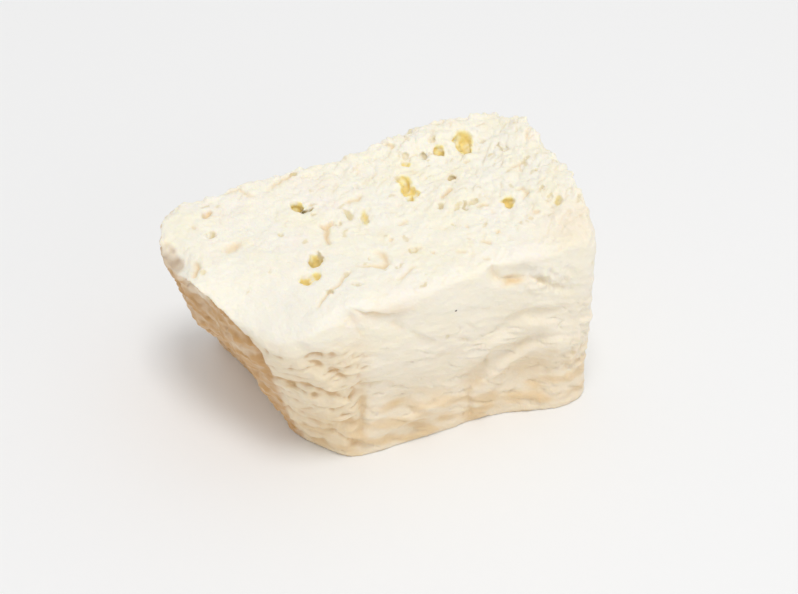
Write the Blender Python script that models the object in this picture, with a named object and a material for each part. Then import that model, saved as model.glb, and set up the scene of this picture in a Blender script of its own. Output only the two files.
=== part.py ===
"""A block of brined white cheese, lying on its flat underside.

One solid: a slab with nine soft corners, whose left end leans out over its foot. The
crumbly top is full of small eyes, the front has a folded skin, and the ends are torn.
Everything is in millimetres until the last step, which scales the mesh to metres.
"""
import math
import random

import bmesh
import bpy
import numpy as np
from mathutils import Matrix, Vector, noise

# Driving dimensions, mm
SLAB_HEIGHT = 72.0
FOOT_ALLOWANCE = 3.0
GRAIN = 1.05
FACES_KEPT = 11000
SNAP = 0.02
METRES = 0.001

# Corners in plan, anticlockwise from the front left. Each has the foot's x, y and corner
# radius, then the brow's x, y and corner radius.
CORNERS = {
    "front_left": (-33.0, -40.5, 11.0, -57.0, -44.5, 13.0),
    "front_middle": (20.0, -39.5, 30.0, 10.0, -43.0, 60.0),
    "front_heel": (43.0, -46.0, 14.0, 38.0, -43.0, 60.0),
    "front_right": (54.0, -43.0, 5.0, 53.5, -43.5, 6.0),
    "right_middle": (55.0, -12.0, 60.0, 57.0, -14.0, 30.0),
    "back_right": (54.0, 31.0, 5.0, 55.5, 29.5, 6.0),
    "back_left": (-57.5, 38.0, 7.0, -73.0, 31.5, 7.0),
    "left_waist": (-48.5, 8.0, 25.0, -82.4, 12.5, 12.0),
    "left_shoulder": (-47.5, -22.0, 14.0, -75.0, -14.0, 30.0),
}
ARC_STEPS = 6
RIM_STEPS = 4
BROW_ROUNDING = 9.0
FOOT_ROUNDING = 3.5

# Stretches of the brow that are worn round: centre, reach, passes of smoothing
WORN_BROWS = {
    "front_middle": (Vector((4.0, -44.0, 73.0)), 50.0, 80),
    "front_left": (Vector((-54.0, -43.0, 66.0)), 38.0, 240),
    "left_end": (Vector((-84.0, 16.0, 72.0)), 22.0, 40),
}

# Swells and dips of the top: centre x, y, reach along x, reach along y, rise
TOP_SWELLS = {
    "right_rise": (60.0, -8.0, 28.0, 30.0, 5.0),
    "right_shoulder": (55.0, -26.0, 12.0, 13.0, 2.5),
    "back_hump": (26.0, 29.0, 19.0, 13.0, 5.0),
    "left_droop": (-70.0, -34.0, 22.0, 20.0, -9.0),
    "left_rim_slope": (-82.0, 3.5, 8.5, 9.0, -6.5),
    "right_rim_dip": (59.0, 3.0, 7.0, 5.0, -2.4),
    "right_rim_rise": (56.0, 16.0, 9.0, 8.0, 2.6),
    "back_rim_rise": (-1.0, 33.0, 8.0, 10.0, 1.4),
    "back_rim_dip": (19.0, 34.0, 7.0, 9.0, -1.4),
}

# Swells and dips of the walls: centre x, y, z, reach, rise
WALL_SWELLS = {
    "left_lump": (-70.0, 10.0, 36.0, 14.0, 4.4),
    "left_lump_low": (-62.0, 26.0, 18.0, 10.0, 1.6),
    "right_belly": (54.0, -20.0, 48.0, 26.0, 1.2),
    "right_notch": (54.0, -44.0, 11.0, 6.0, -0.6),
    "front_belly": (-4.0, -42.0, 44.0, 18.0, 1.3),
    "front_hollow": (31.0, -42.0, 20.0, 10.0, -2.2),
    "corner_hollow": (-16.0, -41.0, 20.0, 7.0, -1.4),
    "back_dent": (-20.0, 34.0, 40.0, 18.0, -1.6),
    "back_swell": (26.0, 32.0, 34.0, 20.0, 1.4),
    "waist_recess": (-78.0, -1.0, 61.0, 8.0, -2.6),
    "brow_recess": (-71.0, -14.0, 57.0, 7.5, -2.2),
    "brow_recess_front": (-65.0, -27.0, 53.0, 7.0, -2.0),
}

# Eyes that open in the top: x, y, width, length, turn in degrees, depth
TOP_EYES = {
    "teardrop": (32.6, 18.7, 5.2, 9.6, -20.0, 3.2),
    "beside_teardrop": (23.3, 17.2, 3.4, 4.6, 0.0, 2.0),
    "torn_upper": (6.7, 8.8, 4.6, 7.4, 10.0, 2.3),
    "torn_lower": (6.6, 1.6, 3.6, 5.4, -20.0, 2.0),
    "left_deep": (-30.9, 13.0, 3.8, 5.6, 10.0, 2.6),
    "left_slit": (-28.6, 9.8, 1.8, 4.0, -60.0, 1.8),
    "pair_upper": (-35.1, -14.7, 4.6, 6.4, -20.0, 2.5),
    "pair_lower": (-41.0, -21.0, 6.6, 5.6, 0.0, 2.2),
    "pair_bridge": (-37.6, -18.6, 4.0, 6.0, 30.0, 1.6),
    "middle_slit": (-16.9, 2.1, 2.2, 6.4, 25.0, 1.9),
    "middle_hollow": (-12.5, -2.2, 2.8, 9.0, 5.0, 2.0),
    "right_round": (33.2, -16.4, 4.4, 5.4, 0.0, 1.9),
    "right_narrow": (20.0, -11.0, 2.6, 5.6, 0.0, 1.9),
    "right_small": (12.7, -7.6, 2.2, 4.2, 0.0, 1.4),
    "shoulder_eye": (47.2, -25.8, 3.2, 3.8, 0.0, 1.9),
    "back_slit": (42.6, 9.4, 2.4, 5.4, 30.0, 1.9),
    "back_tick": (10.5, 16.9, 3.8, 2.8, 0.0, 1.5),
    "back_shallow": (-10.9, 23.8, 3.6, 6.2, 0.0, 1.4),
    "back_dimple": (-4.2, 19.5, 4.8, 6.0, 0.0, 1.2),
    "left_tick": (-59.6, 21.2, 2.2, 5.6, 25.0, 1.4),
    "left_small": (-61.8, 11.1, 2.6, 3.8, 0.0, 1.5),
    "left_dip": (-58.6, 2.6, 7.6, 3.8, 15.0, 1.1),
    "front_curl": (-16.8, -21.0, 7.0, 6.0, 20.0, 1.0),
}
EYE_TURN = -23.0

# Scattered small eyes: how many, smallest and largest width, seed
SCATTER = (46, 1.8, 3.0, 71)

# Folds and creases of the front skin: points x, z, then half width and rise. A crease is
# drawn out below its line, and all of them wander a little.
CREASE_DRAWN_OUT = 2.2
CREASE_WANDER = 1.6
FRONT_CREASES = {
    "shell_rim": (((17.5, 73.0), (18.5, 67.5), (23.0, 66.0), (27.0, 67.5)), 1.5, -2.2),
    "shell_crack": (((27.0, 67.0), (34.0, 62.0), (42.0, 56.0)), 1.4, -1.2),
    "high_fold": (((20.0, 43.0), (24.0, 46.5), (34.0, 46.5), (42.0, 46.0)), 1.8, -1.5),
    "high_roll": (((18.0, 38.5), (27.0, 42.0), (34.0, 42.0)), 2.6, 1.4),
    "middle_fold": (((12.0, 24.0), (16.0, 29.5), (21.0, 32.5), (32.0, 34.5)), 2.0, -1.9),
    "middle_roll": (((15.0, 20.0), (21.0, 27.0), (31.0, 30.5), (41.0, 32.0)), 2.4, 1.6),
    "under_belly": (((-30.0, 35.0), (-14.0, 29.5), (8.0, 26.0)), 4.5, -1.3),
    "ledge": (((-36.0, 70.0), (-27.0, 66.0), (-18.5, 64.5)), 1.6, -1.7),
    "ledge_side": (((-34.5, 69.0), (-31.0, 61.0)), 1.5, -0.9),
    "ledge_curl": (((-18.5, 62.0), (-16.0, 57.0)), 1.5, -0.8),
    "thin_crease": (((-12.0, 52.5), (-4.0, 46.5)), 1.2, -0.7),
    "low_crease": (((-3.5, 39.6), (5.0, 36.6)), 1.2, -0.8),
    "foot_roll": (((-14.0, 12.5), (-7.0, 15.5), (0.0, 14.5)), 2.0, 1.5),
    "foot_hollow": (((-16.0, 7.5), (-8.0, 8.0)), 2.4, -1.4),
    "upright_crack": (((8.2, 23.0), (8.8, 10.0), (9.6, 0.0)), 1.2, -1.2),
    "corner_groove": (((-30.8, 37.0), (-31.0, 22.0), (-30.3, 5.0)), 2.0, -1.9),
    "wrinkle_1": (((-52.0, 60.5), (-47.0, 57.5), (-42.0, 54.5)), 1.5, -1.7),
    "wrinkle_2": (((-49.0, 55.5), (-42.0, 48.5), (-36.0, 43.0)), 1.6, -1.7),
    "wrinkle_3": (((-54.0, 43.0), (-44.0, 37.5), (-33.0, 34.0)), 1.5, -1.7),
    "wrinkle_4": (((-47.0, 28.5), (-40.0, 27.5)), 1.4, -1.1),
    "wrinkle_5": (((-43.0, 20.5), (-37.0, 19.5), (-31.0, 18.0)), 1.6, -1.1),
    "wrinkle_6": (((-41.0, 15.5), (-36.0, 9.5), (-29.5, 5.0)), 1.6, -1.2),
}


def clear_scene():
    """Empty the file of its objects."""
    for thing in list(bpy.data.objects):
        bpy.data.objects.remove(thing, do_unlink=True)


def rounded_outline(corners):
    """Points of a closed outline with an arc at every corner, from (x, y, radius) triples."""
    places = [Vector(corner[:2]) for corner in corners]
    radii = [corner[2] for corner in corners]
    points = []
    for here, radius in enumerate(radii):
        corner = places[here]
        into = (corner - places[here - 1]).normalized()
        away = (places[(here + 1) % len(places)] - corner).normalized()
        turn = into.angle_signed(away)
        start = corner - into * radius * math.tan(abs(turn) / 2)
        hub = start + Vector((-into.y, into.x)) * radius * (1 if turn < 0 else -1)
        for step in range(ARC_STEPS + 1):
            swing = Matrix.Rotation(-turn * step / ARC_STEPS, 2)
            points.append(hub + swing @ (start - hub))
    return points


def slab():
    """The plain slab: foot and brow outlines joined by walls, with softened rims."""
    mesh = bmesh.new()
    foot = rounded_outline([corner[:3] for corner in CORNERS.values()])
    brow = rounded_outline([corner[3:] for corner in CORNERS.values()])
    lean = FOOT_ALLOWANCE / SLAB_HEIGHT
    low = [mesh.verts.new((*(f + (f - b) * lean), -FOOT_ALLOWANCE)) for f, b in zip(foot, brow)]
    high = [mesh.verts.new((*b, SLAB_HEIGHT)) for b in brow]
    for i in range(len(low)):
        j = (i + 1) % len(low)
        mesh.faces.new((low[i], low[j], high[j], high[i]))
    top = mesh.faces.new(high)
    under = mesh.faces.new(low[::-1])
    for face, width in ((top, BROW_ROUNDING), (under, FOOT_ROUNDING)):
        bmesh.ops.bevel(mesh, geom=list(face.edges), offset=width, segments=RIM_STEPS,
                        profile=0.5, affect="EDGES", clamp_overlap=True)
    data = bpy.data.meshes.new("cheese_block")
    mesh.to_mesh(data)
    mesh.free()
    return data


def apply_modifier(block, kind, **settings):
    """Add a modifier, give it its settings and apply it."""
    modifier = block.modifiers.new(kind.lower(), kind)
    for name, value in settings.items():
        setattr(modifier, name, value)
    bpy.ops.object.modifier_apply(modifier=modifier.name)


def read_places(data):
    """Vertex places and normals as two arrays of rows."""
    places = np.empty(len(data.vertices) * 3)
    normals = np.empty(len(data.vertices) * 3)
    data.vertices.foreach_get("co", places)
    data.vertex_normals.foreach_get("vector", normals)
    return places.reshape(-1, 3), normals.reshape(-1, 3)


def write_places(data, places):
    """Put an array of places back into the mesh."""
    data.vertices.foreach_set("co", places.ravel())
    data.update()


def ramp(value, low, high):
    """A soft step from 0 at low to 1 at high."""
    part = np.clip((value - low) / (high - low), 0.0, 1.0)
    return part * part * (3.0 - 2.0 * part)


def wear_brow(block):
    """Round the worn stretches of the brow."""
    for name, (centre, reach, passes) in WORN_BROWS.items():
        group = block.vertex_groups.new(name=name)
        for vertex in block.data.vertices:
            share = 1.0 - (vertex.co - centre).length / reach
            if share > 0:
                group.add([vertex.index], min(1.0, share * 2.0), "REPLACE")
        apply_modifier(block, "SMOOTH", vertex_group=group.name, iterations=passes, factor=0.5)
    block.vertex_groups.clear()


def top_height(x, y):
    """Height of the crumbly top over a place in plan."""
    height = SLAB_HEIGHT + 0.025 * x
    for cx, cy, reach_x, reach_y, rise in TOP_SWELLS.values():
        spread = ((x - cx) / reach_x) ** 2 + ((y - cy) / reach_y) ** 2
        height += rise * np.exp(-spread ** 1.5)
    return height


def eye_depth(places, eye):
    """How deep an eye in the top is at each place: a bowl with a crisp rim."""
    x, y, width, length, turn, depth = eye
    angle = math.radians(EYE_TURN + turn)
    dx = places[:, 0] - x
    dy = places[:, 1] - y
    across = (dx * math.cos(angle) + dy * math.sin(angle)) / (width / 2)
    along = (dy * math.cos(angle) - dx * math.sin(angle)) / (length / 2)
    spread = np.sqrt(across ** 2 + along ** 2)
    return depth * (1.0 - ramp(spread, 0.35, 1.15))


def scattered_eyes():
    """Small eyes drawn over the top, thicker towards the right and the back."""
    count, smallest, largest, seed = SCATTER
    draw = random.Random(seed)
    eyes = []
    while len(eyes) < count:
        x = draw.uniform(-70.0, 52.0)
        y = draw.uniform(-38.0, 30.0)
        crumbly = 0.25 + 0.5 * (x + 70.0) / 122.0 + 0.25 * (y + 38.0) / 68.0
        if draw.random() > crumbly:
            continue
        width = draw.uniform(smallest, largest)
        eyes.append((x, y, width, width * draw.uniform(1.0, 2.0), draw.uniform(-90.0, 90.0),
                     width * draw.uniform(0.25, 0.5)))
    return eyes


def crease_share(flat, points, width):
    """How much of a crease each place takes: crisp above its line and drawn out below."""
    nearest = np.full(len(flat), 1e9)
    for start, end in zip(points, points[1:]):
        start = np.array(start)
        run = np.array(end) - start
        off = flat - start
        part = np.clip(off @ run / (run @ run), 0.0, 1.0)
        gap = off - part[:, None] * run
        below = gap[:, 1] < 0
        distance = np.linalg.norm(gap, axis=1) / np.where(below, CREASE_DRAWN_OUT, 1.0)
        nearest = np.minimum(nearest, distance)
    return np.exp(-(nearest / width) ** 2)


def wandered(places):
    """Places in x and z, shifted by a slow noise so that straight lines wander."""
    flat = places[:, [0, 2]].copy()
    for i, place in enumerate(places):
        shift = noise.noise_vector(Vector(place) / 7.0)
        flat[i] += (shift.x * CREASE_WANDER, shift.z * CREASE_WANDER)
    return flat


def curd_noise(places, top, left, corner):
    """Fused curds on the top, level fibres on the left wall and wrinkles on the corner."""
    rise = np.empty(len(places))
    for i, (x, y, z) in enumerate(places):
        broad = noise.noise(Vector((x, y, z)) / 17.0)
        curd = noise.voronoi(Vector((x, y, z)) / 6.5)[0][0]
        fine = noise.noise(Vector((x + 40.0, y, z)) / 3.2)
        fibre = noise.noise(Vector((x / 11.0, y / 11.0, z / 2.6)))
        coarse = 0.9 * broad + 0.9 * (0.45 - curd) + 0.35 * fine
        skin = 0.7 * broad + 0.18 * fine
        rough = max(top[i], left[i])
        rise[i] = skin + (coarse - skin) * rough + fibre * (1.1 * corner[i] + 0.9 * left[i])
    return rise


def weather(data):
    """Give the even slab its swells, folds, curds and eyes."""
    places, normals = read_places(data)
    places[:, 2] *= top_height(places[:, 0], places[:, 1]) / SLAB_HEIGHT
    top = ramp(normals[:, 2], 0.35, 0.8)
    front = ramp(-normals[:, 1], 0.25, 0.7)
    left = ramp(-normals[:, 0], 0.3, 0.7) * (1.0 - top)
    ends = ramp(np.maximum(normals[:, 0], normals[:, 1]), 0.3, 0.7) * (1.0 - top)
    corner = (1.0 - top) * ramp(-places[:, 0], 24.0, 34.0) * ramp(-places[:, 1], 22.0, 34.0)
    corner *= 1.0 - ramp(places[:, 2], 52.0, 66.0)
    above_foot = ramp(places[:, 2], -1.5, 4.0)
    rise = curd_noise(places, np.maximum(top, ends), left * (1.0 - corner), corner)
    for x, y, z, reach, swell in WALL_SWELLS.values():
        spread = np.linalg.norm(places - (x, y, z), axis=1) / reach
        rise += swell * np.exp(-spread ** 2) * (1.0 - top)
    flat = wandered(places)
    for points, width, swell in FRONT_CREASES.values():
        rise += swell * crease_share(flat, points, width) * front
    dip = np.zeros(len(places))
    for eye in (*TOP_EYES.values(), *scattered_eyes()):
        dip = np.maximum(dip, eye_depth(places, eye))
    places += normals * (rise * above_foot)[:, None]
    places[:, 2] -= dip * top
    write_places(data, places)


def cut_flat(data):
    """Cut the underside level at z = 0, close it, centre the plan and scale to metres."""
    mesh = bmesh.new()
    mesh.from_mesh(data)
    everything = [*mesh.verts, *mesh.edges, *mesh.faces]
    bmesh.ops.bisect_plane(mesh, geom=everything, dist=SNAP, plane_co=(0, 0, 0),
                           plane_no=(0, 0, -1), clear_outer=True)
    for vertex in mesh.verts:
        if vertex.co.z < SNAP * 2:
            vertex.co.z = 0.0
    bmesh.ops.holes_fill(mesh, edges=[edge for edge in mesh.edges if edge.is_boundary])
    bmesh.ops.dissolve_degenerate(mesh, dist=SNAP, edges=mesh.edges)
    bmesh.ops.triangulate(mesh, faces=mesh.faces)
    low = [min(vertex.co[axis] for vertex in mesh.verts) for axis in range(3)]
    high = [max(vertex.co[axis] for vertex in mesh.verts) for axis in range(3)]
    middle = Vector((-(low[0] + high[0]) / 2, -(low[1] + high[1]) / 2, 0.0))
    bmesh.ops.translate(mesh, verts=mesh.verts, vec=middle)
    bmesh.ops.scale(mesh, verts=mesh.verts, vec=(METRES, METRES, METRES))
    mesh.to_mesh(data)
    mesh.free()


def curd_material():
    """Moist ivory curd."""
    material = bpy.data.materials.new("ivory_curd")
    material.use_nodes = True
    shader = material.node_tree.nodes["Principled BSDF"]
    shader.inputs["Base Color"].default_value = (0.90, 0.86, 0.74, 1.0)
    shader.inputs["Roughness"].default_value = 0.5
    shader.inputs["Metallic"].default_value = 0.0
    return material


def main():
    """Build the block."""
    clear_scene()
    block = bpy.data.objects.new("cheese_block", slab())
    bpy.context.scene.collection.objects.link(block)
    bpy.context.view_layer.objects.active = block
    apply_modifier(block, "REMESH", mode="VOXEL", voxel_size=GRAIN)
    wear_brow(block)
    weather(block.data)
    apply_modifier(block, "DECIMATE", ratio=FACES_KEPT / (2 * len(block.data.polygons)))
    cut_flat(block.data)
    block.data.materials.append(curd_material())
    block.data.shade_smooth()


main()
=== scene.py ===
import math
import random

import bpy
import numpy as np
from mathutils import Matrix, Vector, noise
from mathutils.bvhtree import BVHTree


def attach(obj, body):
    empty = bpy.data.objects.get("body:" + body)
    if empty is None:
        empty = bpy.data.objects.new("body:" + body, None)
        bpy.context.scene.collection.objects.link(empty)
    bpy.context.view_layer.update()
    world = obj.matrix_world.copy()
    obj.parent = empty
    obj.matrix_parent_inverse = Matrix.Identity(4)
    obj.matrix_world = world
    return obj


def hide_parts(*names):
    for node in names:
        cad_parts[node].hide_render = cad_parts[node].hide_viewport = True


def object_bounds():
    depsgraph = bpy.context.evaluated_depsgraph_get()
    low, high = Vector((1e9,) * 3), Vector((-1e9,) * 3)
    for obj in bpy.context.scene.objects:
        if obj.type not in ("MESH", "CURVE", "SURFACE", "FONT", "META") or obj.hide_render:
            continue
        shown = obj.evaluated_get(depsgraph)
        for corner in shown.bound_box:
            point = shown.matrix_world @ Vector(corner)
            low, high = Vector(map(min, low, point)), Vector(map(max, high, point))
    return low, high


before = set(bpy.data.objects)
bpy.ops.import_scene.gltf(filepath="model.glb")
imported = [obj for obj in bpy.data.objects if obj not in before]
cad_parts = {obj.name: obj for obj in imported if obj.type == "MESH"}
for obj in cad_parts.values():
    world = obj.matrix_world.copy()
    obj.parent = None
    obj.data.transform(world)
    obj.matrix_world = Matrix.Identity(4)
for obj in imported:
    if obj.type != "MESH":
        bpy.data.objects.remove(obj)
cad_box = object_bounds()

# All lengths in this script are metres; MM turns a size in millimetres into them.
MM = 0.001

# The curd's mesh: grains of its remeshings, rounds of smoothing, and how many triangles it keeps
MERGE_GAP = 0.01 * MM
ROUGH_GRAIN = 0.9 * MM
FINE_GRAIN = 0.54 * MM
CUTTER_GRAIN = 0.34 * MM
FACET_ROUNDING = 5
SOFT_ROUNDING = 90
TRIANGLES_KEPT = 192_000
FLOOR_SNAP = 0.4 * MM

# The camera of the photograph
CAMERA_PLACE = Vector((-231.1, -562.1, 593.1)) * MM
CAMERA_AZIMUTH = math.radians(-23.2)
CAMERA_ELEVATION = math.radians(42.46)
CAMERA_LENS = 108.7
SENSOR_WIDTH = 36.0
CLIP_START = 0.05
CLIP_END = 20.0

# The studio: strength of its white surroundings, its floor, where the lights look, and for
# each light its place, the side of its square and its power
SURROUNDINGS = 0.66
FLOOR_SIZE = 6.0
FLOOR_TONE = (0.895, 0.895, 0.895, 1.0)
LIGHT_AIM = Vector((0.0, 0.0, 0.03))
LIGHTS = {
    "key": ((-0.10, -0.52, 2.25), 0.60, 17.5),
    "front_fill": ((0.42, -0.98, 0.30), 1.0, 1.75),
}

# Colours of the curd, with painted shade and painted warm bounce light among them
IVORY = (0.97, 0.91, 0.79, 1.0)
IVORY_CLOUD = (0.97, 0.895, 0.73, 1.0)
PINK_CLOUD = (0.97, 0.88, 0.79, 1.0)
# a greyer ivory that paints shade onto the worn left of the top
SHADED_WORN_IVORY = (0.93, 0.88, 0.775, 1.0)
CREAM = (0.92, 0.83, 0.68, 1.0)
CREAM_CLOUD = (0.895, 0.805, 0.645, 1.0)
# the corner's cream: partly its own tone, partly painted warm bounce light from below
CORNER_CREAM_AND_BOUNCE = (0.87, 0.72, 0.49, 1.0)
# painted shade in the creases and dents of the corner
CORNER_CREASE_SHADE = (0.68, 0.45, 0.23, 1.0)
# warm tint: painted warm bounce light low on the front and the corner, painted shade in hollows
# and holes, and stains
WARM_BOUNCE_SHADE_AND_STAIN = (0.80, 0.60, 0.35, 1.0)
# painted shade and warm bounce light on the torn left wall
WALL_SHADE_TAN = (0.63, 0.375, 0.155, 1.0)
# painted shade in the notch at the far left of the top
NOTCH_SHADE = (0.60, 0.47, 0.34, 1.0)
# ochre in cracks, creases and slits: partly the opened curd's own tint, partly painted shade
CRACK_SHADE_OCHRE = (0.85, 0.68, 0.43, 1.0)
EYE_RIM = (0.98, 0.89, 0.60, 1.0)
EYE_GOLD = (0.98, 0.79, 0.32, 1.0)
# painted shade inside the eyes, deepest towards their near rim
EYE_SHADE = (0.42, 0.30, 0.08, 1.0)
SPECK_BLACK = (0.06, 0.06, 0.05, 1.0)

# Eyes that open in the top, in mm and degrees: x, y, width, length, turn, depth, and last
# how much painted shade darkens each one inside, from 0 to 1
EYE_TURN = -23.0
EYE_RING = 1.3
EYE_REACH = 1.4
EYE_SINK = 0.15
EYE_LOOKS = 8
LEVEL_FACING = 0.7
TOP_EYES = {
    "teardrop": (43.9, 23.6, 5.2, 7.0, -20.0, 4.0, 0.25),
    "teardrop_tip": (43.5, 20.2, 3.6, 5.0, -10.0, 3.6, 0.55),
    "beside_teardrop": (34.4, 21.7, 3.2, 4.0, 0.0, 2.8, 0.8),
    "over_teardrop": (33.7, 26.0, 1.5, 3.0, 0.0, 1.2, 0.3),
    "torn_upper": (17.7, 13.6, 4.2, 6.2, 20.0, 3.3, 0.2),
    "torn_middle": (17.1, 9.4, 4.6, 5.2, 10.0, 2.6, 0.1),
    "torn_lower": (18.1, 5.8, 2.8, 5.0, -30.0, 2.4, 0.3),
    "left_deep": (-19.8, 17.5, 3.4, 4.8, 10.0, 4.2, 1.0),
    "left_slit": (-17.3, 14.2, 1.5, 4.2, -60.0, 2.2, 0.9),
    "pair_upper": (-24.0, -10.0, 3.8, 5.4, -20.0, 3.4, 0.85),
    "pair_horn": (-21.9, -8.2, 1.4, 3.8, 40.0, 1.8, 0.6),
    "pair_lower": (-30.7, -17.0, 4.2, 3.4, 10.0, 2.7, 0.5),
    "pair_side": (-27.3, -16.8, 4.4, 3.0, 20.0, 1.8, 0.35),
    "middle_slit": (-5.8, 6.6, 1.8, 6.0, 25.0, 1.9, 0.35),
    "middle_hollow": (-1.4, 2.3, 2.3, 7.4, 5.0, 2.2, 0.3),
    "right_round": (44.3, -11.9, 3.8, 4.4, 0.0, 2.9, 0.4),
    "right_narrow": (31.1, -6.5, 1.6, 4.4, 0.0, 1.6, 0.5),
    "right_small": (23.8, -3.1, 1.5, 3.0, 0.0, 1.4, 0.45),
    "shoulder_eye": (58.3, -21.3, 2.2, 2.8, 0.0, 1.7, 0.4),
    "back_slit": (53.9, 14.8, 1.4, 4.2, 30.0, 1.5, 0.5),
    "back_tick": (21.6, 21.4, 3.0, 1.8, 0.0, 1.3, 0.35),
    "back_dot": (28.3, 22.2, 1.4, 2.2, 0.0, 1.1, 0.5),
    "left_small": (-50.7, 15.6, 2.2, 2.9, 0.0, 1.9, 0.55),
    "middle_small": (-30.4, 5.7, 1.8, 2.4, 0.0, 1.0, 0.3),
    "front_small": (-16.5, -27.2, 1.5, 3.4, 75.0, 1.0, 0.3),
    "crack_end": (-25.1, -26.2, 1.4, 3.0, 60.0, 1.0, 0.3),
}

# Small eyes scattered by a seeded draw: how many on the top and round the sides, smallest
# and largest width in mm, lengths and depths for a width of 1, seed, and how much painted shade
# darkens them
SCATTERED_TOP = 260
SCATTERED_SIDES = 90
SCATTER_WIDTHS = (0.9, 1.9)
SCATTER_THINNING = (0.7, 1.0)
SLIT_LENGTHS = (1.1, 1.4, 2.2, 3.2)
SCATTER_DEPTHS = (0.4, 0.7)
SIDE_LENGTHS = (1.1, 1.4, 2.2)
SIDE_DEPTH = 0.6
SCATTER_SEED = 29
SCATTER_SHADE = 0.28
SIDE_SHADE = 0.2
# The way most slits of the top run, in degrees, and how far they stray from it
SLIT_TURN = -38.0
SLIT_SPREAD = 28.0
# The share of the drawn slits that is kept, and how it grows to the back right for each metre
SLIT_SHARE = 0.35
SLIT_GROWTH = 5.0
# Where the eyes of the sides lie: bearings round the block, and the middles they look out from
SIDE_BEARINGS = (-40.0, 200.0)
SIDE_MIDDLE_X = (-0.04, 0.04)
SIDE_MIDDLE_Y = (-0.02, 0.02)
SIDE_FOOT = 0.004
SIDE_LOOK = 0.2

# The way in which the painted shade of the large eyes deepens, and the two ways along the upright
# axis
SHADE_WAY = (0.37, -0.93, 0.0)
UP = Vector((0.0, 0.0, 1.0))
DOWN = Vector((0.0, 0.0, -1.0))

# Cracks and creases of the top, in mm: points x, y, then half width and depth
TOP_CRACKS = {
    "long_crack": (((-14.9, -19.3), (-20.9, -23.3), (-28.9, -27.9), (-32.2, -30.6)), 0.6, 0.9),
    "curl_rim": (((-4.5, -13.5), (-2.4, -18.0), (-3.2, -21.0), (-5.6, -22.4),
                  (-9.0, -19.9), (-13.7, -18.5)), 0.9, 1.0),
    "rise_crack": (((-4.0, -30.1), (-1.6, -29.5), (4.4, -26.0)), 0.7, 0.7),
    "mid_crack": (((4.8, -19.9), (10.4, -18.1)), 0.7, 0.8),
    "low_tick": (((19.0, -25.2), (21.3, -26.1), (22.9, -27.5)), 0.6, 0.6),
    "shell_tick": (((25.7, -32.0), (28.1, -32.7)), 0.6, 0.7),
    "fold_pair": (((29.0, -23.8), (31.0, -27.5)), 0.9, 0.9),
    "fold_pair_up": (((34.1, -23.7), (36.4, -22.5)), 0.6, 0.8),
    "thin_long": (((25.5, 0.6), (31.1, 4.0)), 0.6, 1.2),
    "thin_upper": (((31.5, 8.0), (34.3, 8.9)), 0.7, 1.2),
    "under_teardrop": (((39.7, 13.9), (42.4, 13.6)), 0.6, 0.8),
    "row_right": (((33.7, -8.6), (38.8, -9.5)), 0.7, 0.9),
    "curl_right": (((47.8, -8.5), (50.5, -9.5), (51.2, -12.2), (48.9, -13.6)), 0.7, 0.8),
    "right_tick": (((49.1, -20.7), (51.2, -22.1)), 0.7, 0.8),
    "middle_branch": (((-16.9, 4.2), (-11.1, 5.3)), 0.9, 1.3),
    "middle_branch_down": (((-14.9, 4.8), (-16.5, -1.6), (-17.6, -5.4)), 1.0, 1.3),
    "middle_up": (((-5.0, 12.4), (-0.2, 11.9), (2.4, 13.9)), 0.9, 0.8),
    "left_hook": (((-50.3, 23.7), (-49.1, 26.6), (-46.4, 27.3)), 0.9, 1.6),
    "left_speck": (((-55.7, 22.3), (-54.6, 20.3)), 0.6, 0.8),
    "left_dip": (((-49.1, 7.8), (-43.2, 7.2)), 1.6, 0.6),
    "left_crescent": (((-60.6, 6.2), (-60.6, 2.5), (-63.4, -0.4)), 1.0, 1.1),
    "back_left": (((-25.4, 28.3), (-19.1, 32.7), (-12.6, 33.2)), 0.9, 0.8),
    "back_far_left": (((-40.5, 33.2), (-35.1, 33.6), (-32.4, 28.7), (-30.3, 27.1)), 0.7, 0.7),
    "back_mid": (((18.1, 32.6), (19.6, 30.6), (20.2, 28.7)), 0.7, 0.9),
    "right_back": (((51.4, 1.9), (57.2, 2.5)), 0.8, 0.7),
    "right_front": (((47.0, -38.5), (52.5, -38.4)), 0.7, 0.5),
    "mid_small": (((0.9, -11.3), (3.1, -11.3)), 0.7, 0.8),
    "mid_small_up": (((6.4, -5.6), (11.8, -4.6)), 0.7, 0.6),
    "mid_dot": (((27.1, -15.9), (28.4, -15.9)), 0.7, 0.7),
    "low_dot": (((11.7, -22.3), (12.9, -21.9)), 0.8, 0.9),
}

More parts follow.
